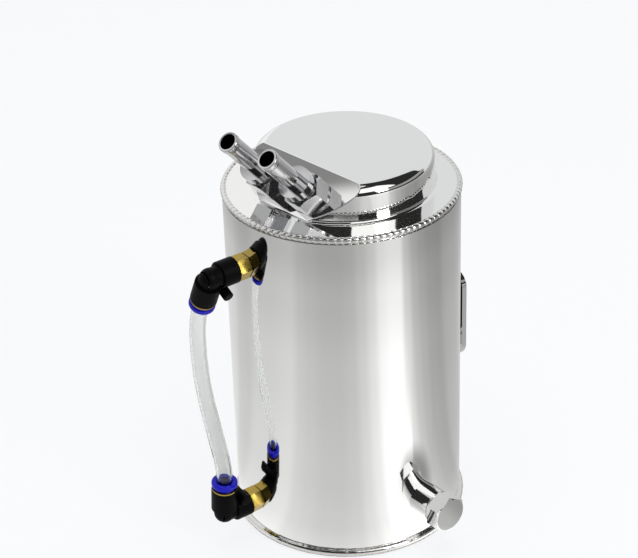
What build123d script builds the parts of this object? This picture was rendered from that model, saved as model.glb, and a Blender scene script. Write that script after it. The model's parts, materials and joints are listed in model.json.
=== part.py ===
# Round welded aluminium oil catch can for an engine bay, in millimetres.
# The origin is the centre of the base and +Z is up. The sight gauge stands on the front (-Y),
# the drain plug on the right (+X) and the bracket on the back (+Y).
from build123d import *
from math import cos, pi, radians, sin, tan
import os

os.makedirs("parts", exist_ok=True)

# Vessel
can_radius = 57.5
can_wall = 3.0
rim_height = 181.5
base_thickness = 3.0
flange_thickness = 3.0
weld_setback = 1.5

# Weld beads
bead_radius = 2.3
top_bead_inset = 1.6
top_bead_drop = 1.2
base_bead_inset = 0.2
base_bead_lift = 0.3

# Head of the cap, with its slanted face for the hose tails
head_setback = 13.2
head_offset = 1.8
head_height = 18.0
head_draft = 3.5
head_edge_radius = 5.8
head_root_radius = 1.8
cap_wall = 3.0
head_turn = 5.0
slant_angle = 47.8
slant_setback = 24.0
slant_edge_radius = 0.8

# Hose tails
tail_spacing = 26.0
tail_down_slope = 15.0
tail_bore = 8.0
tail_neck_diameter = 9.4
tail_lip_diameter = 10.2
tail_lip_length = 2.6
tail_lip_round = 0.5
tail_lip_ramp = 1.0
tail_neck_length = 20.4
tail_collar_diameter = 16.4
tail_collar_length = 4.4
tail_groove_diameter = 13.4
tail_groove_length = 1.8
tail_hex = 17.0
tail_hex_height = 10.4
tail_thread_diameter = 13.0
tail_thread_inside = 4.0
tail_seal_diameter = 17.0
tail_seal_thickness = 1.2

# Threads and other fits
thread_clearance = 0.1
running_clearance = 0.1
press_clearance = 0.02
hex_chamfer_angle = 30.0

# Drain
drain_height = 26.0
bung_diameter = 16.5
bung_length = 10.5
drain_hex = 17.0
drain_hex_height = 8.0
drain_hex_turn = 30.0
drain_thread_diameter = 12.0
drain_thread_length = 14.5
drain_thread_chamfer = 1.0
drain_washer_diameter = 16.0
drain_washer_thickness = 1.5

# Bracket
bracket_width = 40.0
bracket_height = 50.0
bracket_thickness = 3.0
bracket_corner_radius = 8.0
bracket_middle = 88.5
bracket_hole_diameter = 6.6
bracket_hole_pitch_x = 28.0
bracket_hole_pitch_z = 34.0
spacer_width = 16.0
spacer_height = 44.0
spacer_standoff = 4.0

# Sight gauge elbows
gauge_turn = -3.2
upper_elbow_drop = 25.3
lower_elbow_height = 21.4
upper_swivel = 25.5
lower_swivel = -5.0
elbow_reach = 20.3
stem_thread_diameter = 9.7
stem_thread_inside = 4.0
stem_hex = 11.0
stem_hex_gap = 0.2
stem_hex_length = 6.5
stem_journal_diameter = 8.8
stem_journal_length = 8.5
stem_groove_offset = 4.0
stem_groove_width = 1.5
stem_groove_depth = 1.1
flow_bore = 5.6
barrel_diameter = 13.1
barrel_length = 8.9
barrel_round = 0.8
neck_diameter = 10.2
knuckle_radius = 5.3
socket_diameter = 13.2
socket_start = 3.2
socket_round = 0.5
mouth_reach = 15.4
gusset_setback = 0.8
gusset_thickness = 4.4
peg_diameter = 5.2
peg_length = 16.4
peg_toward_can = 7.8
peg_toward_mouth = 9.0
peg_round = 0.6

# Push-in parts of each elbow, measured out along its arm from the corner
tube_seat = 5.4
seal_seat_start = 8.0
seal_seat_length = 2.0
seal_seat_diameter = 11.2
grip_thickness = 0.6
grip_diameter = 11.0
grip_tooth_count = 8
grip_slot_width = 1.0
retainer_start = 10.8
retainer_diameter = 11.6
retainer_bore = 10.4
retainer_flange_diameter = 12.6
retainer_flange_thickness = 0.8
collar_travel = 1.2
collar_rest_gap = 0.2
collar_flange_diameter = 13.0
collar_flange_thickness = 2.4
collar_nose = 12.4
collar_edge_round = 0.6

# Sight tube
tube_diameter = 8.0
tube_bore = 6.0
tube_clearance = 0.15
tube_upper_run = 32.0
tube_lower_run = 27.8
tube_bow = 15.0
tube_bow_share = 0.543
tube_bend_shares = (0.316, 0.752, 0.248)

plate_radius = can_radius - weld_setback
head_radius = can_radius - head_setback
slant_reach = head_radius - slant_setback
flange_low = rim_height - flange_thickness
head_top = rim_height + head_height
upper_elbow_height = rim_height - upper_elbow_drop


def upright(plane):
    """Plane through a turned piece's axis: x is the radius and y runs out along the axis."""
    return Plane(plane.origin, x_dir=plane.x_dir, z_dir=plane.x_dir.cross(plane.z_dir))


def axis_of(plane):
    """Axis that leaves a plane at its origin."""
    return Axis(plane.origin, plane.z_dir)


def keep(piece, label):
    """Names a finished piece and writes it."""
    piece.part.label = label
    export_step(piece.part, f"parts/{label}.step")


def hex_blank(plane, across_flats, height, turn=0):
    """Hexagonal block on a plane, with its outer corners turned off."""
    flat = across_flats / 2
    corner = flat / cos(pi / 6)
    slope = (corner - flat) * tan(radians(hex_chamfer_angle))
    with BuildPart() as blank:
        with BuildSketch(plane):
            RegularPolygon(flat, 6, major_radius=False, rotation=turn)
        extrude(amount=height)
        with BuildSketch(upright(plane)):
            with BuildLine():
                Polyline(
                    (0, 0),
                    (corner, 0),
                    (corner, height - slope),
                    (flat, height),
                    (0, height),
                    close=True,
                )
            make_face()
        revolve(axis=axis_of(plane), mode=Mode.INTERSECT)
    return blank.part


def sealing_ring(plane, along, middle_radius, section_radius):
    """Round-section ring about a plane's axis."""
    with BuildPart() as ring:
        with BuildSketch(upright(plane)):
            with Locations((middle_radius, along)):
                Circle(section_radius)
        revolve(axis=axis_of(plane))
    return ring


# Planes that the fittings stand on, each with its z direction out of the vessel
up = Vector(0, 0, 1)
slant_out = Vector(sin(radians(head_turn)), -cos(radians(head_turn)), 0)
slant_across = Vector(cos(radians(head_turn)), sin(radians(head_turn)), 0)
slant_normal = slant_out * cos(radians(slant_angle)) + up * sin(radians(slant_angle))
slant_plane = Plane(slant_out * slant_reach + up * head_top, x_dir=slant_across, z_dir=slant_normal)
tail_planes = {}
for tail_name, tail_side in (("inlet", -1), ("outlet", 1)):
    tail_seat = slant_plane.from_local_coords(Vector(tail_side * tail_spacing / 2, -tail_down_slope, 0))
    tail_planes[tail_name] = Plane(tail_seat, x_dir=slant_across, z_dir=slant_normal)
drain_plane = Plane((can_radius, 0, drain_height), x_dir=(0, 1, 0), z_dir=(1, 0, 0))
gauge_out = Vector(sin(radians(gauge_turn)), -cos(radians(gauge_turn)), 0)
gauge_across = Vector(cos(radians(gauge_turn)), sin(radians(gauge_turn)), 0)
gauge_foot = gauge_out * can_radius
stem_planes = {
    "upper": Plane(gauge_foot + up * upper_elbow_height, x_dir=gauge_across, z_dir=gauge_out),
    "lower": Plane(gauge_foot + up * lower_elbow_height, x_dir=gauge_across, z_dir=gauge_out),
}
arm_directions = {
    "upper": gauge_across * -sin(radians(upper_swivel)) - up * cos(radians(upper_swivel)),
    "lower": gauge_across * -sin(radians(lower_swivel)) + up * cos(radians(lower_swivel)),
}
arm_planes = {}
for elbow, stem_plane in stem_planes.items():
    corner = stem_plane.origin + stem_plane.z_dir * elbow_reach
    arm_planes[elbow] = Plane(corner, x_dir=gauge_out * -1, z_dir=arm_directions[elbow])

# Can body: a plain tube with tapped holes for the gauge and a bore behind the drain bung
with BuildPart() as can_body:
    with BuildSketch(Plane.XY.offset(base_thickness)):
        Circle(can_radius)
        Circle(can_radius - can_wall, mode=Mode.SUBTRACT)
    extrude(amount=flange_low - base_thickness)
    with Locations(*stem_planes.values()):
        Hole(stem_thread_diameter / 2 + thread_clearance, depth=2 * can_wall)
    with Locations(drain_plane):
        Hole(drain_thread_diameter / 2 + thread_clearance, depth=2 * can_wall)
keep(can_body, "can_body")

# Base plate: a disc set back from the outside so that the weld fills the corner
with BuildPart() as base_plate:
    with BuildSketch():
        Circle(plate_radius)
    extrude(amount=base_thickness)
keep(base_plate, "base_plate")

# Room inside the head, one wall in from the outside
with BuildPart() as head_room:
    with BuildSketch(Plane.XY.offset(rim_height)):
        with Locations((0, head_offset)):
            Circle(head_radius - cap_wall)
    extrude(amount=head_height - cap_wall, taper=head_draft)
    fillet(edges().sort_by(Axis.Z)[-1], head_edge_radius - cap_wall)
    split(bisect_by=slant_plane.offset(-cap_wall), keep=Keep.BOTTOM)
    extrude(faces().filter_by(Axis.Z).sort_by(Axis.Z)[0], amount=flange_thickness)

# Cap: a flat flange, the drawn head with its slanted face, and the tapped holes for the hose tails
with BuildPart() as top_cap:
    with BuildSketch(Plane.XY.offset(rim_height)):
        with Locations((0, head_offset)):
            Circle(head_radius)
    extrude(amount=head_height, taper=head_draft)
    fillet(edges().sort_by(Axis.Z)[-1], head_edge_radius)
    split(bisect_by=slant_plane, keep=Keep.BOTTOM)
    fillet(faces().filter_by(slant_plane).edges().sort_by(Axis.Z)[1:], slant_edge_radius)
    with BuildSketch(Plane.XY.offset(flange_low)):
        Circle(plate_radius)
    extrude(amount=flange_thickness)
    flange_top = faces().filter_by(Axis.Z).sort_by(Axis.Z)[1]
    fillet(flange_top.inner_wires()[0].edges(), head_root_radius)
    add(head_room.part, mode=Mode.SUBTRACT)
    with Locations(*tail_planes.values()):
        Hole(tail_thread_diameter / 2 + thread_clearance, depth=2 * cap_wall)
keep(top_cap, "top_cap")

# Weld beads: a round fillet laid in the corner between each plate and the can
bead_centres = {
    "top_weld_bead": (can_radius - top_bead_inset, rim_height - top_bead_drop),
    "base_weld_bead": (can_radius - base_bead_inset, bead_radius + base_bead_lift),
}
for bead_name, bead_centre in bead_centres.items():
    with BuildPart() as weld_bead:
        with BuildSketch(Plane.XZ):
            with Locations(bead_centre):
                Circle(bead_radius)
            with Locations((0, flange_low)):
                Rectangle(plate_radius, flange_thickness, align=(Align.MIN, Align.MIN), mode=Mode.SUBTRACT)
            Rectangle(plate_radius, base_thickness, align=(Align.MIN, Align.MIN), mode=Mode.SUBTRACT)
            with Locations((0, base_thickness)):
                Rectangle(
                    can_radius,
                    flange_low - base_thickness,
                    align=(Align.MIN, Align.MIN),
                    mode=Mode.SUBTRACT,
                )
        revolve(axis=Axis.Z)
    keep(weld_bead, bead_name)

# Hose tails: turned from hexagonal bar, with a lip that holds the hose and a threaded end in the cap
for tail_name, tail_plane in tail_planes.items():
    hex_top = tail_seal_thickness + tail_hex_height
    groove_top = hex_top + tail_groove_length
    collar_top = groove_top + tail_collar_length
    lip_start = collar_top + tail_neck_length
    lip_end = lip_start + tail_lip_ramp + tail_lip_length
    hex_section = hex_blank(tail_plane.offset(tail_seal_thickness), tail_hex, tail_hex_height)
    with BuildPart() as hose_tail:
        add(hex_section)
        with BuildSketch(upright(tail_plane)):
            with BuildLine():
                Polyline(
                    (0, -cap_wall - tail_thread_inside),
                    (tail_thread_diameter / 2, -cap_wall - tail_thread_inside),
                    (tail_thread_diameter / 2, tail_seal_thickness),
                    (tail_groove_diameter / 2, tail_seal_thickness),
                    (tail_groove_diameter / 2, groove_top),
                    (tail_collar_diameter / 2, groove_top),
                    (tail_collar_diameter / 2, collar_top),
                    (tail_neck_diameter / 2, collar_top),
                    (tail_neck_diameter / 2, lip_start),
                    (tail_lip_diameter / 2, lip_start + tail_lip_ramp),
                    (tail_lip_diameter / 2, lip_end),
                    (0, lip_end),
                    close=True,
                )
            make_face()
        revolve(axis=axis_of(tail_plane))
        with Locations(tail_plane.offset(lip_end)):
            Hole(tail_bore / 2)
        lip_edges = edges().filter_by(GeomType.CIRCLE).group_by(axis_of(tail_plane))[-1]
        fillet(lip_edges.sort_by(SortBy.RADIUS)[-1], tail_lip_round)
    keep(hose_tail, f"{tail_name}_hose_tail")

    with BuildPart() as tail_seal:
        with BuildSketch(tail_plane):
            Circle(tail_seal_diameter / 2)
            Circle(tail_thread_diameter / 2 + thread_clearance, mode=Mode.SUBTRACT)
        extrude(amount=tail_seal_thickness)
    keep(tail_seal, f"{tail_name}_seal")

# Drain bung: a short boss saddled on the can, tapped right through for the plug
with BuildPart() as drain_bung:
    with BuildSketch(drain_plane.offset(bung_length)):
        Circle(bung_diameter / 2)
        Circle(drain_thread_diameter / 2 + thread_clearance, mode=Mode.SUBTRACT)
    extrude(amount=-bung_length - can_wall)
    with BuildSketch():
        Circle(can_radius)
    extrude(amount=2 * drain_height, mode=Mode.SUBTRACT)
keep(drain_bung, "drain_bung")

# Drain washer: a flat crush ring under the plug's head
with BuildPart() as drain_washer:
    with BuildSketch(drain_plane.offset(bung_length)):
        Circle(drain_washer_diameter / 2)
        Circle(drain_thread_diameter / 2 + thread_clearance, mode=Mode.SUBTRACT)
    extrude(amount=drain_washer_thickness)
keep(drain_washer, "drain_washer")

# Drain plug: a hexagon head on a plain-drawn thread
plug_head_plane = drain_plane.offset(bung_length + drain_washer_thickness)
plug_head = hex_blank(plug_head_plane, drain_hex, drain_hex_height, drain_hex_turn)
with BuildPart() as drain_plug:
    add(plug_head)
    with BuildSketch(plug_head_plane):
        Circle(drain_thread_diameter / 2)
    extrude(amount=-drain_thread_length)
    chamfer(edges().filter_by(GeomType.CIRCLE).group_by(Axis.X)[0], drain_thread_chamfer)
keep(drain_plug, "drain_plug")

# Bracket spacer: a bar shaped to the can that holds the bracket off it
bracket_inner = can_radius + spacer_standoff
with BuildPart() as bracket_spacer:
    with BuildSketch(Plane.XY.offset(bracket_middle - spacer_height / 2)):
        Rectangle(spacer_width, bracket_inner, align=(Align.CENTER, Align.MIN))
        Circle(can_radius, mode=Mode.SUBTRACT)
    extrude(amount=spacer_height)
keep(bracket_spacer, "bracket_spacer")

# Bracket plate: a flat plate with round corners and four bolt holes
with BuildPart() as bracket_plate:
    with BuildSketch(Plane((0, bracket_inner, bracket_middle), x_dir=(-1, 0, 0), z_dir=(0, 1, 0))):
        RectangleRounded(bracket_width, bracket_height, bracket_corner_radius)
        with GridLocations(bracket_hole_pitch_x, bracket_hole_pitch_z, 2, 2):
            Circle(bracket_hole_diameter / 2, mode=Mode.SUBTRACT)
    extrude(amount=bracket_thickness)
keep(bracket_plate, "bracket_plate")

# Push-in elbows at both ends of the sight tube
body_start = stem_hex_gap + stem_hex_length
journal_end = body_start + stem_journal_length
grip_start = seal_seat_start + seal_seat_length
gusset_run = elbow_reach - body_start - gusset_setback
gusset_rise = mouth_reach - gusset_setback
flange_end = mouth_reach + retainer_flange_thickness
collar_start = flange_end + collar_travel + collar_rest_gap
collar_end = collar_start + collar_flange_thickness
tube_hole = tube_diameter / 2 + tube_clearance
for elbow, stem_plane in stem_planes.items():
    arm_plane = arm_planes[elbow]
    stem_hexagon = hex_blank(stem_plane.offset(stem_hex_gap), stem_hex, stem_hex_length)

    # Stem: a brass hexagon with a thread into the can and a journal that the body turns on
    journal_radius = stem_journal_diameter / 2
    groove_radius = journal_radius - stem_groove_depth
    groove_start = body_start + stem_groove_offset
    with BuildPart() as stem:
        add(stem_hexagon)
        with BuildSketch(upright(stem_plane)):
            with BuildLine():
                Polyline(
                    (0, -can_wall - stem_thread_inside),
                    (stem_thread_diameter / 2, -can_wall - stem_thread_inside),
                    (stem_thread_diameter / 2, stem_hex_gap),
                    (journal_radius, stem_hex_gap),
                    (journal_radius, groove_start),
                    (groove_radius, groove_start),
                    (groove_radius, groove_start + stem_groove_width),
                    (journal_radius, groove_start + stem_groove_width),
                    (journal_radius, journal_end),
                    (0, journal_end),
                    close=True,
                )
            make_face()
        revolve(axis=axis_of(stem_plane))
        with Locations(stem_plane.offset(journal_end)):
            Hole(flow_bore / 2)
    keep(stem, f"{elbow}_stem")

    # Swivel seal: a ring in the journal's groove
    swivel_bore = journal_radius + running_clearance
    swivel_section = (swivel_bore - groove_radius) / 2 - press_clearance
    swivel_seal = sealing_ring(
        stem_plane,
        groove_start + stem_groove_width / 2,
        (swivel_bore + groove_radius) / 2,
        swivel_section,
    )
    keep(swivel_seal, f"{elbow}_swivel_seal")

    # Socket post of the body: a round knuckle at the corner and a wider socket out to the mouth
    with BuildPart() as socket_post:
        with BuildSketch(upright(arm_plane)):
            with BuildLine():
                RadiusArc((0, -knuckle_radius), (knuckle_radius, 0), -knuckle_radius)
                Polyline(
                    (knuckle_radius, 0),
                    (knuckle_radius, socket_start),
                    (socket_diameter / 2, socket_start),
                    (socket_diameter / 2, mouth_reach),
                    (0, mouth_reach),
                    (0, -knuckle_radius),
                )
            make_face()
        revolve(axis=axis_of(arm_plane))
        fillet(edges().group_by(axis_of(arm_plane))[-1], socket_round)

    # Body: one moulding with a barrel on the stem, a neck, the socket post, a gusset and a peg
    elbow_plane = Plane(
        arm_plane.origin, x_dir=arm_plane.x_dir, z_dir=arm_plane.x_dir.cross(arm_plane.z_dir)
    )
    with BuildPart() as elbow_body:
        with BuildSketch(stem_plane.offset(body_start)):
            Circle(barrel_diameter / 2)
        extrude(amount=barrel_length)
        fillet(edges().group_by(axis_of(stem_plane))[-1], barrel_round)
        with BuildSketch(stem_plane.offset(body_start)):
            Circle(neck_diameter / 2)
        extrude(amount=elbow_reach - body_start)
        add(socket_post.part)
        with BuildSketch(elbow_plane):
            Polygon((0, 0), (gusset_run, 0), (0, gusset_rise), align=None)
        extrude(amount=gusset_thickness / 2, both=True)
        with BuildSketch(elbow_plane):
            with Locations((peg_toward_can, peg_toward_mouth)):
                Circle(peg_diameter / 2)
        extrude(amount=peg_length / 2, both=True)
        peg_ends = edges().filter_by(GeomType.CIRCLE).group_by(axis_of(elbow_plane))
        fillet(peg_ends[0] + peg_ends[-1], peg_round)
        with Locations(stem_plane.offset(journal_end)):
            Hole(swivel_bore, depth=stem_journal_length)
        with Locations(arm_plane):
            Cylinder(
                flow_bore / 2,
                tube_seat,
                align=(Align.CENTER, Align.CENTER, Align.MIN),
                mode=Mode.SUBTRACT,
            )
        with Locations(stem_plane.offset(journal_end)):
            Cylinder(
                flow_bore / 2,
                elbow_reach - journal_end,
                align=(Align.CENTER, Align.CENTER, Align.MIN),
                mode=Mode.SUBTRACT,
            )
        with Locations(arm_plane.offset(tube_seat)):
            Cylinder(
                tube_hole,
                mouth_reach - tube_seat,
                align=(Align.CENTER, Align.CENTER, Align.MIN),
                mode=Mode.SUBTRACT,
            )
        with Locations(arm_plane.offset(seal_seat_start)):
            Cylinder(
                seal_seat_diameter / 2,
                mouth_reach - seal_seat_start,
                align=(Align.CENTER, Align.CENTER, Align.MIN),
                mode=Mode.SUBTRACT,
            )
        with Locations(arm_plane.offset(retainer_start)):
            Cylinder(
                retainer_diameter / 2 + press_clearance,
                mouth_reach - retainer_start,
                align=(Align.CENTER, Align.CENTER, Align.MIN),
                mode=Mode.SUBTRACT,
            )
    keep(elbow_body, f"{elbow}_elbow_body")

    # Tube seal: a ring squeezed between the tube and the socket
    seal_section = (seal_seat_diameter - tube_diameter) / 4 - press_clearance
    tube_seal = sealing_ring(
        arm_plane,
        seal_seat_start + seal_seat_length / 2,
        (seal_seat_diameter + tube_diameter) / 4,
        seal_section,
    )
    keep(tube_seal, f"{elbow}_tube_seal")

    # Grip ring: a thin spring washer whose teeth hold the tube
    with BuildPart() as grip_ring:
        with BuildSketch(arm_plane.offset(grip_start)):
            Circle(grip_diameter / 2)
            Circle(tube_hole, mode=Mode.SUBTRACT)
            with PolarLocations(tube_hole, grip_tooth_count):
                Rectangle(grip_slot_width, grip_slot_width, mode=Mode.SUBTRACT)
        extrude(amount=grip_thickness)
    keep(grip_ring, f"{elbow}_grip_ring")

    # Retainer: a brass sleeve pressed into the mouth, with a thin flange that shows
    with BuildPart() as retainer:
        with BuildSketch(upright(arm_plane)):
            with BuildLine():
                Polyline(
                    (retainer_bore / 2, retainer_start),
                    (retainer_diameter / 2, retainer_start),
                    (retainer_diameter / 2, mouth_reach),
                    (retainer_flange_diameter / 2, mouth_reach),
                    (retainer_flange_diameter / 2, flange_end),
                    (retainer_bore / 2, flange_end),
                    close=True,
                )
            make_face()
        revolve(axis=axis_of(arm_plane))
    keep(retainer, f"{elbow}_retainer")

    # Release collar: the blue sleeve that is pushed in to free the tube
    with BuildPart() as release_collar:
        with BuildSketch(upright(arm_plane)):
            with BuildLine():
                Polyline(
                    (tube_hole, collar_nose),
                    (retainer_bore / 2 - running_clearance, collar_nose),
                    (retainer_bore / 2 - running_clearance, collar_start),
                    (collar_flange_diameter / 2, collar_start),
                    (collar_flange_diameter / 2, collar_end),
                    (tube_hole, collar_end),
                    close=True,
                )
            make_face()
        revolve(axis=axis_of(arm_plane))
        collar_rims = edges().filter_by(GeomType.CIRCLE).group_by(SortBy.RADIUS)[-1]
        fillet(collar_rims, collar_edge_round)
    keep(release_collar, f"{elbow}_release_collar")

# Sight tube: a clear hose from one socket to the other, in three gentle bends
upper_corner = arm_planes["upper"].origin
lower_corner = arm_planes["lower"].origin
upper_arm = arm_directions["upper"]
lower_arm = arm_directions["lower"]
tube_start = upper_corner + upper_arm * tube_seat
tube_span = upper_corner.Z - lower_corner.Z
with BuildPart() as sight_tube:
    with BuildLine() as tube_route:
        FilletPolyline(
            tube_start,
            upper_corner + upper_arm * tube_upper_run,
            lower_corner - gauge_across * tube_bow + up * (tube_bow_share * tube_span),
            lower_corner + lower_arm * tube_lower_run,
            lower_corner + lower_arm * tube_seat,
            radius=[share * tube_span for share in tube_bend_shares],
        )
    with BuildSketch(Plane(tube_start, x_dir=gauge_out, z_dir=upper_arm)):
        Circle(tube_diameter / 2)
        Circle(tube_bore / 2, mode=Mode.SUBTRACT)
    sweep(path=tube_route.line)
keep(sight_tube, "sight_tube")
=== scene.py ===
# %% [markdown]
# # A polished oil catch can
# The real object is a round welded tank of mirror-polished aluminium that hangs in an engine bay.
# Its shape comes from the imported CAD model. This lesson gives it its finish: polished metal,
# rippled welds, brass and plastic fittings, and a clear sight tube. All lengths are in metres.

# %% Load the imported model
import json
from math import cos, pi, radians, sin

import bmesh
import bpy
from mathutils import Matrix, Vector


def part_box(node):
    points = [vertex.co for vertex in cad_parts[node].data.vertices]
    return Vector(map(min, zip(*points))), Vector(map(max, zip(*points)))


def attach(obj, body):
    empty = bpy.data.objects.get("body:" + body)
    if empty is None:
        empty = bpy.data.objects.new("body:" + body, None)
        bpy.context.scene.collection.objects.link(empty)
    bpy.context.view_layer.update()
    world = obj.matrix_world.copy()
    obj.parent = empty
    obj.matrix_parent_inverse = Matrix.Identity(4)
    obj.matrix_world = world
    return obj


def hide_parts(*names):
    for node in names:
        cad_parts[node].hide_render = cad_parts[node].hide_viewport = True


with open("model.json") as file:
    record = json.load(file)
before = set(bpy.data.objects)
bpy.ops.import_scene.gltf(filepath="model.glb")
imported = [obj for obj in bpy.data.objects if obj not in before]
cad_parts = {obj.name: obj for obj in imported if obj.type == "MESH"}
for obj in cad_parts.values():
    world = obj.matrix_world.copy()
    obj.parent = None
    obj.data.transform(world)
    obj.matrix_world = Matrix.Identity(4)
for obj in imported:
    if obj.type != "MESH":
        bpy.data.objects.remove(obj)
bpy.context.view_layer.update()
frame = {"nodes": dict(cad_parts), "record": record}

cad_nodes = frame["nodes"]
body_of_node = {}
for body_name, members in frame["record"]["behaviour"]["bodies"].items():
    for member in members:
        body_of_node[member] = body_name
slot_of_node = {part["node"]: part["material_slot"] for part in frame["record"]["subparts"]}

# %% [markdown]
# ## The camera
# A camera is matched to a photograph by its place, the point it looks at, its roll and its focal
# length. A long lens far away keeps the can's sides nearly parallel, as they are in the picture.

# %% Camera at the photograph's angle
photo_width = 638
focal_pixels = 2049.6
sensor_width_mm = 36.0
camera_turn = radians(50.3)
camera_range = 0.8733
camera_height = 0.6361
camera_roll = radians(-1.88)
aim_side = -0.0122
aim_height = 0.1276

right_flat = Vector((cos(camera_turn), sin(camera_turn), 0.0))
toward_camera = Vector((sin(camera_turn), -cos(camera_turn), 0.0))


def camera_frame(toward, right, height):
    """Vector from its parts toward the camera, to the right and up."""
    return toward_camera * toward + right_flat * right + Vector((0.0, 0.0, height))


eye = camera_frame(camera_range, 0.0, camera_height)
aim = camera_frame(0.0, aim_side, aim_height)
forward = (aim - eye).normalized()
level_right = forward.cross(Vector((0.0, 0.0, 1.0))).normalized()
level_up = level_right.cross(forward)
view_right = level_right * cos(camera_roll) + level_up * sin(camera_roll)
view_up = level_up * cos(camera_roll) - level_right * sin(camera_roll)
view_axes = Matrix((view_right, view_up, -forward)).transposed()

camera_data = bpy.data.cameras.new("camera")
camera_data.sensor_width = sensor_width_mm
camera_data.lens = sensor_width_mm * focal_pixels / photo_width
camera = bpy.data.objects.new("camera", camera_data)
camera.matrix_world = Matrix.Translation(eye) @ view_axes.to_4x4()
bpy.context.scene.collection.objects.link(camera)
bpy.context.scene.camera = camera
print("lens", round(camera_data.lens, 1), "mm, eye", [round(v, 3) for v in eye])

# %% [markdown]
# ## Background
# Polished metal shows its surroundings more than its own colour, so the room matters as much as the
# finish. A world can be seen in one colour and give light in another, by asking which ray looks at
# it. Here the camera and the clear tube see near-white, reflections see a pale grey, and the object
# is lit at a plain level.

# %% Near-white world
background_white = (0.972, 0.98, 0.995, 1.0)
reflected_grey = (0.8, 0.81, 0.82, 1.0)
ambient_grey = (0.62, 0.63, 0.65, 1.0)

bpy.context.scene.view_settings.view_transform = "Standard"
world = bpy.data.worlds.new("studio")
bpy.context.scene.world = world
world.use_nodes = True
world_tree = world.node_tree
world_rays = world_tree.nodes.new("ShaderNodeLightPath")
world_shader = world_tree.nodes["Background"]
world_shader.inputs["Color"].default_value = ambient_grey
for ray, colour in (
    ("Is Glossy Ray", reflected_grey),
    ("Is Transmission Ray", background_white),
    ("Is Camera Ray", background_white),
):
    seen = world_tree.nodes.new("ShaderNodeBackground")
    seen.inputs["Color"].default_value = colour
    world_mix = world_tree.nodes.new("ShaderNodeMixShader")
    world_tree.links.new(world_rays.outputs[ray], world_mix.inputs[0])
    world_tree.links.new(world_shader.outputs[0], world_mix.inputs[1])
    world_tree.links.new(seen.outputs[0], world_mix.inputs[2])
    world_shader = world_mix
world_tree.links.new(world_shader.outputs[0], world_tree.nodes["World Output"].inputs[0])
print("world", world.name, "with", len(world_tree.nodes), "nodes")

# %% [markdown]
# ## Floor
# The can stands on a plain pale floor, and its soft shadow shows that it stands there. The floor is
# a real matt sheet, which keeps that shadow. The camera sees it mixed with the background's white,
# so the floor and the background meet without a line, and the share of matt carries the shadow.

# %% Pale floor
floor_grey = (0.78, 0.78, 0.77, 1.0)
floor_half = 4.0
floor_shadow_share = 0.15
corner_signs = ((-1, -1), (1, -1), (1, 1), (-1, 1))

floor_mesh = bpy.data.meshes.new("floor")
corners = [(floor_half * x, floor_half * y, 0.0) for x, y in corner_signs]
floor_mesh.from_pydata(corners, [], [(0, 1, 2, 3)])
floor = bpy.data.objects.new("floor", floor_mesh)
bpy.context.scene.collection.objects.link(floor)
floor_paint = bpy.data.materials.new("pale_floor")
floor_paint.use_nodes = True
floor_tree = floor_paint.node_tree
floor_tree.nodes.remove(floor_tree.nodes["Principled BSDF"])
floor_matt = floor_tree.nodes.new("ShaderNodeBsdfDiffuse")
floor_matt.inputs["Color"].default_value = floor_grey
floor_glow = floor_tree.nodes.new("ShaderNodeEmission")
floor_glow.inputs["Color"].default_value = background_white
camera_only = floor_tree.nodes.new("ShaderNodeLightPath")
share = floor_tree.nodes.new("ShaderNodeMath")
share.operation = "MULTIPLY"
share.inputs[1].default_value = 1.0 - floor_shadow_share
floor_tree.links.new(camera_only.outputs["Is Camera Ray"], share.inputs[0])
floor_mix = floor_tree.nodes.new("ShaderNodeMixShader")
floor_tree.links.new(share.outputs[0], floor_mix.inputs[0])
floor_tree.links.new(floor_matt.outputs[0], floor_mix.inputs[1])
floor_tree.links.new(floor_glow.outputs[0], floor_mix.inputs[2])
floor_tree.links.new(floor_mix.outputs[0], floor_tree.nodes["Material Output"].inputs[0])
floor_mesh.materials.append(floor_paint)
print("floor", 2 * floor_half, "m square")

# %% [markdown]
# ## Lamps
# Two large soft boxes light the plastics and the floor. The overhead one is kept out of the metal's
# reflections, and the one by the window shows as a bright line on round edges.

# %% Soft boxes
def around(turn, reach, height):
    """Point at an angle to the right of the camera's direction, seen from the can."""
    return camera_frame(cos(radians(turn)) * reach, sin(radians(turn)) * reach, height)


# Each lamp has its place, width, height and power, and whether reflections show it.
lamp_plan = {
    "overhead_box": (Vector((0.1, -0.1, 1.4)), 0.9, 0.9, 9.0, False),
    "window_box": (around(47.0, 1.9, 1.1), 0.5, 1.2, 16.0, True),
}
lamp_target = Vector((0.0, 0.0, 0.1))
for lamp_name, (place, width, height, power, in_reflections) in lamp_plan.items():
    lamp_data = bpy.data.lights.new(lamp_name, "AREA")
    lamp_data.shape = "RECTANGLE"
    lamp_data.size = width
    lamp_data.size_y = height
    lamp_data.energy = power
    lamp = bpy.data.objects.new(lamp_name, lamp_data)
    lamp.location = place
    lamp.rotation_mode = "QUATERNION"
    lamp.rotation_quaternion = (lamp_target - place).to_track_quat("-Z", "Y")
    lamp.visible_glossy = in_reflections
    bpy.context.scene.collection.objects.link(lamp)
print("lamps", sorted(lamp_plan))

# %% [markdown]
# ## Cards round the can
# A mirror in an all-white room is white and has no shape. Photographers stand dark and pale cards
# round polished metal, just out of the picture, and their images draw its edges. A card could be
# lit by lamps, but one that shines by itself keeps its tone wherever it stands. Only reflections
# see it.

# %% Helpers for cards
def glow_material(name):
    """Material that only shines, with its tree and its emission node."""
    material = bpy.data.materials.new(name)
    material.use_nodes = True
    tree = material.node_tree
    tree.nodes.remove(tree.nodes["Principled BSDF"])
    glow = tree.nodes.new("ShaderNodeEmission")
    tree.links.new(glow.outputs[0], tree.nodes["Material Output"].inputs[0])
    return material, tree, glow


def plain_cloth(name, brightness):
    """Card material of one brightness."""
    material, _, glow = glow_material(name)
    glow.inputs["Strength"].default_value = brightness
    return material


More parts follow.
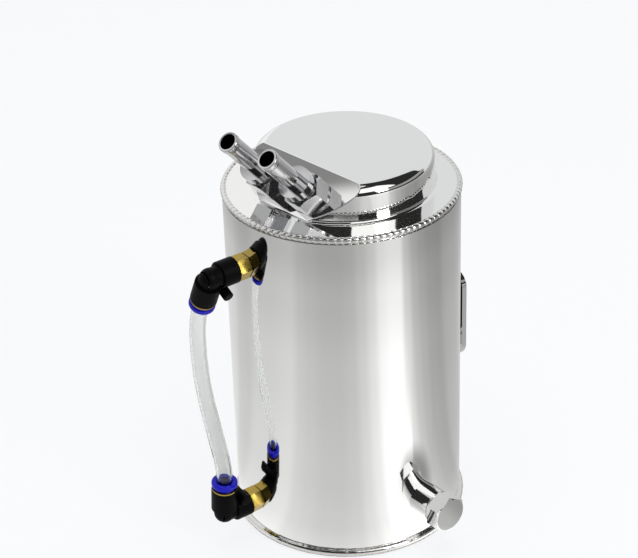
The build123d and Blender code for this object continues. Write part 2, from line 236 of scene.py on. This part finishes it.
def stand_card(name, points, faces, material):
    """Card that only reflections see."""
    mesh = bpy.data.meshes.new(name)
    mesh.from_pydata([tuple(point) for point in points], [], faces)
    mesh.materials.append(material)
    card = bpy.data.objects.new(name, mesh)
    bpy.context.scene.collection.objects.link(card)
    card.visible_camera = False
    card.visible_diffuse = False
    card.visible_transmission = False
    card.visible_shadow = False


def stand_sheet(name, rim, material):
    """Flat card with the given points round its rim."""
    stand_card(name, rim, [tuple(range(len(rim)))], material)


def stand_band(name, turns, low_edge, high_edge, material):
    """Card bent round the can, each of its edges at a reach and a height."""
    points = [around(turn, *edge) for turn in turns for edge in (low_edge, high_edge)]
    faces = [(2 * i, 2 * i + 2, 2 * i + 3, 2 * i + 1) for i in range(len(turns) - 1)]
    stand_card(name, points, faces, material)


# %% [markdown]
# ## Dark tent
# The head of the can rolls over in a bright round edge, and the black line along it is the image of
# something dark overhead and to the right. A tent of a wall and a roof is that dark thing. The roof
# is cut back behind the can, so that the flat top of the head still shows the pale background.

# %% Tent wall and roof
tent_reach = 3.0
tent_height = 2.9
tent_dark = 0.025
tent_turns = [*range(-70, 111, 10), 112]
roof_reaches = {turn: tent_reach for turn in range(-50, 111, 10)}
roof_reaches |= {112: 5.5, 114: 4.7, 117: 4.1, 121: 3.55, 126: 3.1, 132: 2.68}
roof_reaches |= {139: 2.25, 147: 1.85, 156: 1.62, 166: 1.56, 176: 1.56, 186: 1.56}

dark_cloth = plain_cloth("dark_cloth", tent_dark)
stand_band("tent_wall", tent_turns, (tent_reach, 0.0), (tent_reach, tent_height), dark_cloth)
roof_rim = [around(turn, reach, tent_height) for turn, reach in roof_reaches.items()]
stand_sheet("tent_roof", roof_rim, dark_cloth)
print("tent wall of", len(tent_turns), "posts, roof of", len(roof_rim), "corners")

# %% [markdown]
# ## Window and pale cards
# A window in the tent is the white line below the black one. The other cards are for the flat faces
# of the cap, which show one part of the room each: one overhead, one in front and one to the right
# lighten the top of the head from above, from behind and from the left, and a near one lightens the
# flange on the left.

# %% Window, overhead card and pale cards
window_cloth = plain_cloth("window_cloth", 1.25)
pale_cloth = plain_cloth("pale_cloth", 0.8)
grey_cloth = plain_cloth("grey_cloth", 0.35)
side_cloth = plain_cloth("side_cloth", 0.98)
overhead_reach = 0.62
overhead_height = 2.85
overhead_step = 15
side_card_edges = (-0.5, -0.048)
side_card_back = -0.16
side_card_heights = (0.2, 0.5)

# Each bent card has its turns, its lower and upper edge, and its cloth.
bent_cards = {
    "front_card": (range(-70, 16, 5), (0.25, 0.259), (0.25, 0.315), pale_cloth),
    "right_card": (range(45, 116, 5), (2.5, 0.44), (2.5, 1.08), grey_cloth),
    "window": (range(8, 69, 3), (2.0, 1.2), (2.0, 2.5), window_cloth),
    "skylight": (range(8, 69, 3), (2.0, 2.5), (1.35, 2.8), window_cloth),
}
overhead_turns = range(0, 360, overhead_step)
overhead_rim = [around(turn, overhead_reach, overhead_height) for turn in overhead_turns]
stand_sheet("overhead_card", overhead_rim, pale_cloth)
for card_name, card_plan in bent_cards.items():
    stand_band(card_name, *card_plan)
side_card = [
    camera_frame(side_card_back, side, height)
    for side in side_card_edges
    for height in side_card_heights
]
stand_card("side_card", side_card, [(0, 1, 3, 2)], side_cloth)
print("cards overhead_card", *bent_cards, "side_card")

# %% [markdown]
# ## Shaded card for the slanted face
# The slanted face of the head is a small flat mirror, so all of it shows one small part of the
# room. A plain card would make it one flat tone. This one goes from dark to pale along its slope,
# and the face shows the same soft change from its upper edge down.

# %% Shaded card
shade_middle = camera_frame(-0.033, -0.242, 0.389)
shade_across = camera_frame(0.752, 0.65, 0.111)
shade_down = camera_frame(0.517, -0.55, -0.654)
shade_half_width = 0.065
shade_half_height = 0.04
shade_slope = (0.5, 0.866)
shade_fade = (0.002, 0.014)
shade_values = (0.26, 0.95)

shade_cloth, shade_tree, shade_glow = glow_material("shade_cloth")
shade_axis = (shade_across * shade_slope[0] + shade_down * shade_slope[1]).normalized()
shade_along = shade_tree.nodes.new("ShaderNodeVectorMath")
shade_along.operation = "DOT_PRODUCT"
shade_along.inputs[1].default_value = shade_axis
shade_step = shade_tree.nodes.new("ShaderNodeMapRange")
shade_step.interpolation_type = "SMOOTHSTEP"
shade_step.inputs["From Min"].default_value = shade_middle.dot(shade_axis) + shade_fade[0]
shade_step.inputs["From Max"].default_value = shade_middle.dot(shade_axis) + shade_fade[1]
shade_step.inputs["To Min"].default_value = shade_values[0]
shade_step.inputs["To Max"].default_value = shade_values[1]
shade_place = shade_tree.nodes.new("ShaderNodeTexCoord").outputs["Object"]
shade_tree.links.new(shade_place, shade_along.inputs[0])
shade_tree.links.new(shade_along.outputs["Value"], shade_step.inputs["Value"])
shade_tree.links.new(shade_step.outputs["Result"], shade_glow.inputs["Strength"])
shade_card = [
    shade_middle + shade_across * side * shade_half_width + shade_down * drop * shade_half_height
    for side in (-1, 1)
    for drop in (-1, 1)
]
stand_card("shade_card", shade_card, [(0, 1, 3, 2)], shade_cloth)
print("shaded card at", [round(v, 3) for v in shade_middle])

# %% [markdown]
# ## Floor cloth
# Seen from above, the upright wall of the can shows the floor around it. On the real wall, soft
# upright bands of light and shade tell the eye that it is round. They could be painted on the
# metal, but then they would stay in place under any light. A cloth on the floor that shines by
# itself, lighter and darker by direction and by distance, gives them as a mirror image. A darker
# patch on it by the drain is painted shade, which the wall mirrors as a soft shadow round the bung.

# %% Brightness by direction and distance
cloth_outer = 2.9
cloth_turns = {
    -180: 0.8, -126: 0.73, -112: 0.63, -100: 0.62, -86: 0.7, -74: 0.71, -49: 0.765,
    -40: 0.67, -31: 0.63, -18: 0.585, -6: 0.58, 6: 0.62, 15: 0.73, 24: 0.885,
    32: 1.11, 41: 1.2, 50: 1.2, 57: 0.815, 66: 0.6, 74: 0.51, 84: 0.44,
    95: 0.41, 108: 0.48, 121: 0.5, 180: 0.8,
}
cloth_reaches = {
    0.06: 1.45, 0.075: 1.2, 0.12: 1.1, 0.22: 1.0, 0.3: 0.86, 0.36: 0.7, 0.6: 0.8, 1.5: 1.0,
}


def fill_ramp(ramp, stops):
    """Sets a grey colour ramp from places and values."""
    ramp.interpolation = "EASE"
    places = sorted(stops)
    while len(ramp.elements) < len(places):
        ramp.elements.new(1.0)
    for element, place in zip(ramp.elements, places):
        element.position = place
        element.color = (stops[place], stops[place], stops[place], 1.0)


cloth, cloth_tree, cloth_glow = glow_material("floor_cloth")
cloth_place = cloth_tree.nodes.new("ShaderNodeTexCoord").outputs["Object"]
cloth_turned = cloth_tree.nodes.new("ShaderNodeVectorRotate")
cloth_turned.rotation_type = "Z_AXIS"
cloth_turned.inputs["Angle"].default_value = pi / 2 - camera_turn
cloth_angle = cloth_tree.nodes.new("ShaderNodeTexGradient")
cloth_angle.gradient_type = "RADIAL"
angle_ramp = cloth_tree.nodes.new("ShaderNodeValToRGB")
angle_stops = {turn / 360 + 0.5: value for turn, value in cloth_turns.items()}
fill_ramp(angle_ramp.color_ramp, angle_stops)
cloth_far = cloth_tree.nodes.new("ShaderNodeVectorMath")
cloth_far.operation = "LENGTH"
cloth_share = cloth_tree.nodes.new("ShaderNodeMath")
cloth_share.operation = "DIVIDE"
cloth_share.inputs[1].default_value = cloth_outer
far_ramp = cloth_tree.nodes.new("ShaderNodeValToRGB")
far_stops = {reach / cloth_outer: value for reach, value in cloth_reaches.items()}
fill_ramp(far_ramp.color_ramp, far_stops)
cloth_tree.links.new(cloth_place, cloth_turned.inputs["Vector"])
cloth_tree.links.new(cloth_turned.outputs["Vector"], cloth_angle.inputs["Vector"])
cloth_tree.links.new(cloth_angle.outputs["Fac"], angle_ramp.inputs["Fac"])
cloth_tree.links.new(cloth_place, cloth_far.inputs[0])
cloth_tree.links.new(cloth_far.outputs["Value"], cloth_share.inputs[0])
cloth_tree.links.new(cloth_share.outputs[0], far_ramp.inputs["Fac"])
print("cloth with", len(angle_stops), "directions and", len(far_stops), "distances")

# %% Painted shade by the drain, and the cloth itself
cloth_inner = 0.061
cloth_lift = 0.0004
cloth_posts = range(0, 361, 10)
# A darker patch in the glowing cloth near the drain is painted shade, which the can's wall mirrors
# as a soft shadow round the bung.
drain_shade_middle = (0.105, 0.026, cloth_lift)
drain_shade_core = 0.012
drain_shade_rim = 0.036
drain_shade_value = 0.38

# The cloth's glow drops near the drain point and rises again further out: painted shade.
drain_shade_away = cloth_tree.nodes.new("ShaderNodeVectorMath")
drain_shade_away.operation = "DISTANCE"
drain_shade_away.inputs[1].default_value = drain_shade_middle
drain_shade_mask = cloth_tree.nodes.new("ShaderNodeMapRange")
drain_shade_mask.interpolation_type = "SMOOTHSTEP"
drain_shade_mask.inputs["From Min"].default_value = drain_shade_core
drain_shade_mask.inputs["From Max"].default_value = drain_shade_rim
drain_shade_mask.inputs["To Min"].default_value = drain_shade_value
drain_shade_mask.inputs["To Max"].default_value = 1.0
drain_shaded = cloth_tree.nodes.new("ShaderNodeMath")
drain_shaded.operation = "MULTIPLY"
cloth_tree.links.new(cloth_place, drain_shade_away.inputs[0])
cloth_tree.links.new(drain_shade_away.outputs["Value"], drain_shade_mask.inputs["Value"])
cloth_tree.links.new(drain_shade_mask.outputs["Result"], drain_shaded.inputs[0])
cloth_tree.links.new(far_ramp.outputs["Color"], drain_shaded.inputs[1])
cloth_tree.links.new(angle_ramp.outputs["Color"], cloth_glow.inputs["Color"])
cloth_tree.links.new(drain_shaded.outputs[0], cloth_glow.inputs["Strength"])
inner_edge = (cloth_inner, cloth_lift)
outer_edge = (cloth_outer, cloth_lift)
stand_band("floor_cloth", cloth_posts, inner_edge, outer_edge, cloth)
print("floor cloth from", cloth_inner, "to", cloth_outer, "m")

# %% [markdown]
# ## Shared finish: handling marks
# No polished surface is perfect: the buffing wheel leaves a faint haze and very fine lines. Several
# metals share this effect, so it is one node group with its own values in each material.

# %% Node group for buffed metal
haze_detail = 5.0
haze_span = (0.35, 0.7)
line_stretch = (60.0, 60.0, 4000.0)
line_detail = 2.0

buffing = bpy.data.node_groups.new("buffing_marks", "ShaderNodeTree")
buffing.interface.new_socket("Vector", in_out="INPUT", socket_type="NodeSocketVector")
for socket_name in ("Haze Size", "Low", "High"):
    buffing.interface.new_socket(socket_name, in_out="INPUT", socket_type="NodeSocketFloat")
for socket_name in ("Roughness", "Height"):
    buffing.interface.new_socket(socket_name, in_out="OUTPUT", socket_type="NodeSocketFloat")
buff_in = buffing.nodes.new("NodeGroupInput")
buff_out = buffing.nodes.new("NodeGroupOutput")
haze = buffing.nodes.new("ShaderNodeTexNoise")
haze.inputs["Detail"].default_value = haze_detail
haze_range = buffing.nodes.new("ShaderNodeMapRange")
haze_range.inputs["From Min"].default_value = haze_span[0]
haze_range.inputs["From Max"].default_value = haze_span[1]
stretch = buffing.nodes.new("ShaderNodeMapping")
stretch.inputs["Scale"].default_value = line_stretch
lines = buffing.nodes.new("ShaderNodeTexNoise")
lines.inputs["Scale"].default_value = 1.0
lines.inputs["Detail"].default_value = line_detail
buffing.links.new(buff_in.outputs["Vector"], haze.inputs["Vector"])
buffing.links.new(buff_in.outputs["Haze Size"], haze.inputs["Scale"])
buffing.links.new(haze.outputs["Fac"], haze_range.inputs["Value"])
buffing.links.new(buff_in.outputs["Low"], haze_range.inputs["To Min"])
buffing.links.new(buff_in.outputs["High"], haze_range.inputs["To Max"])
buffing.links.new(haze_range.outputs["Result"], buff_out.inputs["Roughness"])
buffing.links.new(buff_in.outputs["Vector"], stretch.inputs["Vector"])
buffing.links.new(stretch.outputs["Vector"], lines.inputs["Vector"])
buffing.links.new(lines.outputs["Fac"], buff_out.inputs["Height"])
print("group", buffing.name)

# %% [markdown]
# ## Metals
# The can and its cap are polished aluminium, the hose tails are plated, and the gauge stems are
# brass. A metal is a Principled shader with Metallic at 1. Its colour tints the reflection, and its
# roughness says how sharp that reflection is, so one helper can make them all.

# %% Helpers for materials
def start_material(name):
    """A node material, with its tree and its Principled shader."""
    material = bpy.data.materials.new(name)
    material.use_nodes = True
    return material, material.node_tree, material.node_tree.nodes["Principled BSDF"]


def object_coordinates(tree):
    """Socket with the point's place on the piece."""
    return tree.nodes.new("ShaderNodeTexCoord").outputs["Object"]


def add_bump(tree, shader, height_socket, depth, strength):
    """Bump of a given depth on a shader."""
    bump = tree.nodes.new("ShaderNodeBump")
    bump.inputs["Distance"].default_value = depth
    bump.inputs["Strength"].default_value = strength
    tree.links.new(height_socket, bump.inputs["Height"])
    tree.links.new(bump.outputs["Normal"], shader.inputs["Normal"])


def buffed_metal(name, colour, haze_size, low, high, depth, strength):
    """Metal with buffing marks."""
    material, tree, shader = start_material(name)
    shader.inputs["Base Color"].default_value = colour
    shader.inputs["Metallic"].default_value = 1.0
    marks = tree.nodes.new("ShaderNodeGroup")
    marks.node_tree = buffing
    marks.inputs["Haze Size"].default_value = haze_size
    marks.inputs["Low"].default_value = low
    marks.inputs["High"].default_value = high
    tree.links.new(object_coordinates(tree), marks.inputs["Vector"])
    tree.links.new(marks.outputs["Roughness"], shader.inputs["Roughness"])
    add_bump(tree, shader, marks.outputs["Height"], depth, strength)
    return material


# %% Polished aluminium, plated metal, brass and the rest
# Each metal has its colour, the scale of its haze, its lowest and highest roughness, and the depth
# and strength of its lines.
metal_plan = {
    "polished_aluminium": ((0.86, 0.86, 0.85, 1.0), 14.0, 0.03, 0.07, 0.00001, 0.015),
    "plated_metal": ((0.62, 0.62, 0.63, 1.0), 60.0, 0.07, 0.15, 0.00001, 0.05),
    "washer_aluminium": ((0.66, 0.66, 0.66, 1.0), 120.0, 0.2, 0.34, 0.00003, 0.15),
    "spring_steel": ((0.5, 0.51, 0.53, 1.0), 200.0, 0.18, 0.3, 0.00002, 0.1),
    "brass": ((0.46, 0.33, 0.07, 1.0), 150.0, 0.14, 0.26, 0.00003, 0.15),
    "weld_aluminium": ((0.74, 0.73, 0.71, 1.0), 220.0, 0.14, 0.28, 0.00004, 0.2),
}
finishes = {name: buffed_metal(name, *plan) for name, plan in metal_plan.items()}
print("metals", sorted(finishes))

# %% [markdown]
# ## Plastics, rubber and the clear tube
# The elbows, the release collars and the seals are moulded, and a moulded surface has a fine grain
# that breaks up its highlights. A noise texture gives that grain at any size. The sight tube is
# clear: it lets light through and bends it at its edges.

# %% Moulded pieces
grain_detail = 4.0
grain_spread = (0.8, 1.2)


def moulded(name, colour, shine, roughness, grain_size, depth, strength):
    """Plastic or rubber with a fine moulded grain."""
    material, tree, shader = start_material(name)
    shader.inputs["Base Color"].default_value = colour
    shader.inputs["Specular IOR Level"].default_value = shine
    grain = tree.nodes.new("ShaderNodeTexNoise")
    grain.inputs["Scale"].default_value = grain_size
    grain.inputs["Detail"].default_value = grain_detail
    tree.links.new(object_coordinates(tree), grain.inputs["Vector"])
    spread = tree.nodes.new("ShaderNodeMapRange")
    spread.inputs["To Min"].default_value = roughness * grain_spread[0]
    spread.inputs["To Max"].default_value = roughness * grain_spread[1]
    tree.links.new(grain.outputs["Fac"], spread.inputs["Value"])
    tree.links.new(spread.outputs["Result"], shader.inputs["Roughness"])
    add_bump(tree, shader, grain.outputs["Fac"], depth, strength)
    return material


# Each has its colour, shine and roughness, and the scale, depth and strength of its grain.
moulded_plan = {
    "black_plastic": ((0.002, 0.002, 0.0025, 1.0), 0.05, 0.42, 1800.0, 0.00005, 0.25),
    "blue_plastic": ((0.004, 0.004, 0.42, 1.0), 0.25, 0.3, 900.0, 0.00003, 0.1),
    "black_rubber": ((0.015, 0.015, 0.015, 1.0), 0.3, 0.6, 1200.0, 0.00004, 0.2),
}
finishes |= {name: moulded(name, *plan) for name, plan in moulded_plan.items()}
print("moulded", sorted(moulded_plan))

# %% Clear sight tube
clear, _, clear_shader = start_material("clear_tube")
clear_shader.inputs["Base Color"].default_value = (0.93, 0.94, 0.93, 1.0)
clear_shader.inputs["Transmission Weight"].default_value = 1.0
clear_shader.inputs["IOR"].default_value = 1.42
clear_shader.inputs["Roughness"].default_value = 0.04
finishes["clear_tube"] = clear
print("finishes", sorted(finishes))

# %% [markdown]
# ## Dressing the CAD nodes
# A CAD node arrives as loose triangles. A copy is merged so that its round faces can be shaded
# smoothly. Smooth shading bends the edges of a flat face toward the fillet beside it, which a
# mirror shows at once, so large flat faces are marked as strong and keep their own direction.

# %% Helpers for dressed pieces
flat_angle = radians(0.3)
flat_area = 15e-6
strong_face = 16384


def plain_mesh(obj, name):
    """Mesh of an object with its modifiers applied."""
    graph = bpy.context.evaluated_depsgraph_get()
    graph.update()
    mesh = bpy.data.meshes.new_from_object(obj.evaluated_get(graph), depsgraph=graph)
    mesh.name = name
    return mesh


def settle(piece, node):
    """Lets a finished piece stand for a node: it moves with the node's body, and the node is
    hidden.
    """
    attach(piece, body_of_node[node])
    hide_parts(node)


def flat_strengths(shape):
    """Strength of each face: strong where it is part of a large flat region."""
    shape.faces.index_update()
    strengths = [0] * len(shape.faces)
    reached = set()
    for start in shape.faces:
        if start in reached:
            continue
        reached.add(start)
        region = [start]
        for face in region:
            neighbours = [other for edge in face.edges for other in edge.link_faces]
            for other in neighbours:
                if other not in reached and other.normal.angle(start.normal, pi) < flat_angle:
                    reached.add(other)
                    region.append(other)
        if sum(face.calc_area() for face in region) > flat_area:
            for face in region:
                strengths[face.index] = strong_face
    return strengths


# %% Smooth copies of the nodes
merge_gap = 1e-6
sharp_angle = radians(28)
area_weight = 100
strength_layer = "__mod_weightednormals_faceweight"
welds = ("top_weld_bead", "base_weld_bead")


def dress(node):
    """Smooth copy of a node in its finish."""
    shape = bmesh.new()
    shape.from_mesh(cad_nodes[node].data)
    bmesh.ops.remove_doubles(shape, verts=shape.verts, dist=merge_gap)
    for face in shape.faces:
        face.smooth = True
    for edge in shape.edges:
        edge.smooth = len(edge.link_faces) == 2 and edge.calc_face_angle() < sharp_angle
    shape.normal_update()
    strengths = flat_strengths(shape)
    mesh = bpy.data.meshes.new(node + "_finish")
    shape.to_mesh(mesh)
    shape.free()
    mesh.attributes.new(strength_layer, "INT", "FACE").data.foreach_set("value", strengths)
    piece = bpy.data.objects.new(node + "_finish", mesh)
    bpy.context.scene.collection.objects.link(piece)
    weighting = piece.modifiers.new("flat_faces", "WEIGHTED_NORMAL")
    weighting.keep_sharp = True
    weighting.use_face_influence = True
    weighting.weight = area_weight
    finished = plain_mesh(piece, node + "_finish")
    piece.modifiers.clear()
    piece.data = finished
    finished.materials.clear()
    finished.materials.append(finishes[slot_of_node[node]])
    settle(piece, node)
    return piece


dressed = {node: dress(node) for node in cad_nodes if node not in welds}
print("dressed", len(dressed), "pieces")

# %% [markdown]
# ## The head's round edge
# The top of the head rolls over into its wall in one round edge. Its triangles are long and narrow,
# and averaged normals there would draw the black line of the tent as a ragged one. More triangles
# would help a little. The edge is part of a ring, though, so its true direction is known at every
# point, and each point on it is given that normal.

# %% True normals on the edge
head_offset = 0.0018
edge_radius = 0.0058
on_ring = 3e-5
level_gap = 2e-6

cap_mesh = dressed["top_cap"].data
head_top = max(vertex.co.z for vertex in cap_mesh.vertices)
ring_level = Vector((0.0, head_offset, head_top - edge_radius))
outward = [Vector((vertex.co.x, vertex.co.y - head_offset, 0.0)) for vertex in cap_mesh.vertices]
level = [vertex.index for vertex in cap_mesh.vertices if head_top - vertex.co.z < level_gap]
ring_radius = max(outward[index].length for index in level)
spokes = {}
for vertex in cap_mesh.vertices:
    away = outward[vertex.index]
    spoke = vertex.co - ring_level - away.normalized() * ring_radius
    if away.length > ring_radius - on_ring and abs(spoke.length - edge_radius) < on_ring:
        spokes[vertex.index] = spoke.normalized()
cap_normals = [corner.vector.copy() for corner in cap_mesh.corner_normals]
for face in cap_mesh.polygons:
    if all(index in spokes for index in face.vertices):
        for corner, index in zip(face.loop_indices, face.vertices):
            cap_normals[corner] = spokes[index]
cap_mesh.normals_split_custom_set(cap_normals)
print("round edge", len(spokes), "points on a ring of", round(ring_radius, 5))

# %% [markdown]
# ## Weld beads
# A hand-laid weld is a row of small overlapping puddles, like a stack of coins pushed over. They
# could be set out by a loop, but they repeat by a rule, so Geometry Nodes place one leaning puddle
# after another around the seam, each a little different.

# %% Inputs of the ripple tree
ripple_tree = bpy.data.node_groups.new("weld_ripples", "GeometryNodeTree")
ripple_sockets = {
    "Seam Radius": "NodeSocketFloat",
    "Seam Height": "NodeSocketFloat",
    "Puddle Radius": "NodeSocketFloat",
    "Puddle Length": "NodeSocketFloat",
    "Lean": "NodeSocketFloat",
    "Count": "NodeSocketInt",
    "Material": "NodeSocketMaterial",
}
ripple_inputs = {}
for socket_name, socket_type in ripple_sockets.items():
    socket = ripple_tree.interface.new_socket(
        socket_name, in_out="INPUT", socket_type=socket_type
    )
    ripple_inputs[socket_name] = socket.identifier
ripple_tree.interface.new_socket("Geometry", in_out="OUTPUT", socket_type="NodeSocketGeometry")
print("ripple inputs", sorted(ripple_inputs))

# %% Nodes of the ripple tree
puddle_segments = 14
puddle_rings = 8
uneven_sizes = (0.93, 1.0)
uneven_seed = 7

add = ripple_tree.nodes.new
ripple_in = add("NodeGroupInput")
ripple_out = add("NodeGroupOutput")
seam = add("GeometryNodeMeshCircle")
lift = add("ShaderNodeCombineXYZ")
raised = add("GeometryNodeSetPosition")
puddle = add("GeometryNodeMeshUVSphere")
puddle.inputs["Segments"].default_value = puddle_segments
puddle.inputs["Rings"].default_value = puddle_rings
puddle.inputs["Radius"].default_value = 1.0
smooth = add("GeometryNodeSetShadeSmooth")
position = add("GeometryNodeInputPosition")
facing = add("FunctionNodeAlignRotationToVector")
facing.axis = "X"
facing.pivot_axis = "Z"
spread_out = add("GeometryNodeInstanceOnPoints")
size = add("ShaderNodeCombineXYZ")
lean = add("ShaderNodeCombineXYZ")
turned = add("GeometryNodeRotateInstances")
# Inputs 2 and 3 of a random value are its lowest and highest number, and output 1 is the number.
uneven = add("FunctionNodeRandomValue")
uneven.data_type = "FLOAT"
uneven.inputs[2].default_value = uneven_sizes[0]
uneven.inputs[3].default_value = uneven_sizes[1]
uneven.inputs["Seed"].default_value = uneven_seed
shrink = add("GeometryNodeScaleInstances")
flat_position = add("ShaderNodeVectorMath")
flat_position.operation = "MULTIPLY"
flat_position.inputs[1].default_value = (1.0, 1.0, 0.0)
realize = add("GeometryNodeRealizeInstances")
paint = add("GeometryNodeSetMaterial")
print("ripple tree", len(ripple_tree.nodes), "nodes")

# %% Links of the ripple tree
join = ripple_tree.links.new
# The seam is a circle of points at its height.
join(ripple_in.outputs["Count"], seam.inputs["Vertices"])
join(ripple_in.outputs["Seam Radius"], seam.inputs["Radius"])
join(ripple_in.outputs["Seam Height"], lift.inputs["Z"])
join(seam.outputs["Mesh"], raised.inputs["Geometry"])
join(lift.outputs["Vector"], raised.inputs["Offset"])
# A puddle stands on each point and faces outwards.
join(position.outputs["Position"], flat_position.inputs[0])
join(flat_position.outputs["Vector"], facing.inputs["Vector"])
join(raised.outputs["Geometry"], spread_out.inputs["Points"])
join(puddle.outputs["Mesh"], smooth.inputs["Geometry"])
join(smooth.outputs["Geometry"], spread_out.inputs["Instance"])
join(facing.outputs["Rotation"], spread_out.inputs["Rotation"])
join(ripple_in.outputs["Puddle Radius"], size.inputs["X"])
join(ripple_in.outputs["Puddle Length"], size.inputs["Y"])
join(ripple_in.outputs["Puddle Radius"], size.inputs["Z"])
join(size.outputs["Vector"], spread_out.inputs["Scale"])
# Each one leans over its neighbour and is a little smaller or larger.
join(ripple_in.outputs["Lean"], lean.inputs["Z"])
join(spread_out.outputs["Instances"], turned.inputs["Instances"])
join(lean.outputs["Vector"], turned.inputs["Rotation"])
join(turned.outputs["Instances"], shrink.inputs["Instances"])
join(uneven.outputs[1], shrink.inputs["Scale"])
# The copies become one mesh in its finish.
join(shrink.outputs["Instances"], realize.inputs["Geometry"])
join(realize.outputs["Geometry"], paint.inputs["Geometry"])
join(ripple_in.outputs["Material"], paint.inputs["Material"])
join(paint.outputs["Geometry"], ripple_out.inputs["Geometry"])
print("ripple tree", len(ripple_tree.links), "links")

# %% Lay both seams
can_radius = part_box("can_body")[1].x
ripple_pitch = 0.0034
ripple_count = round(2 * pi * can_radius / ripple_pitch)
seam_plan = {
    "top_weld_bead": {"inset": 0.0009, "sink": 0.0004, "lean": 0.1, "overlap": 1.0},
    "base_weld_bead": {"inset": 0.0002, "sink": 0.0, "lean": 0.0, "overlap": 2.4},
}

for weld, plan in seam_plan.items():
    low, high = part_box(weld)
    puddle_radius = high.x - can_radius + plan["inset"]
    seam_heights = {
        "top_weld_bead": high.z - puddle_radius,
        "base_weld_bead": low.z + puddle_radius,
    }
    ripple_values = {
        "Seam Radius": can_radius - plan["inset"],
        "Seam Height": seam_heights[weld] - plan["sink"],
        "Puddle Radius": puddle_radius,
        "Puddle Length": ripple_pitch * plan["overlap"],
        "Lean": plan["lean"],
        "Count": ripple_count,
        "Material": finishes[slot_of_node[weld]],
    }
    holder = bpy.data.objects.new(weld + "_ripples", bpy.data.meshes.new(weld))
    bpy.context.scene.collection.objects.link(holder)
    laying = holder.modifiers.new("ripples", "NODES")
    laying.node_group = ripple_tree
    for socket_name, value in ripple_values.items():
        laying[ripple_inputs[socket_name]] = value
    rippled = plain_mesh(holder, weld + "_ripples")
    holder.modifiers.clear()
    holder.data = rippled
    settle(holder, weld)
    print(weld, len(rippled.polygons), "faces")
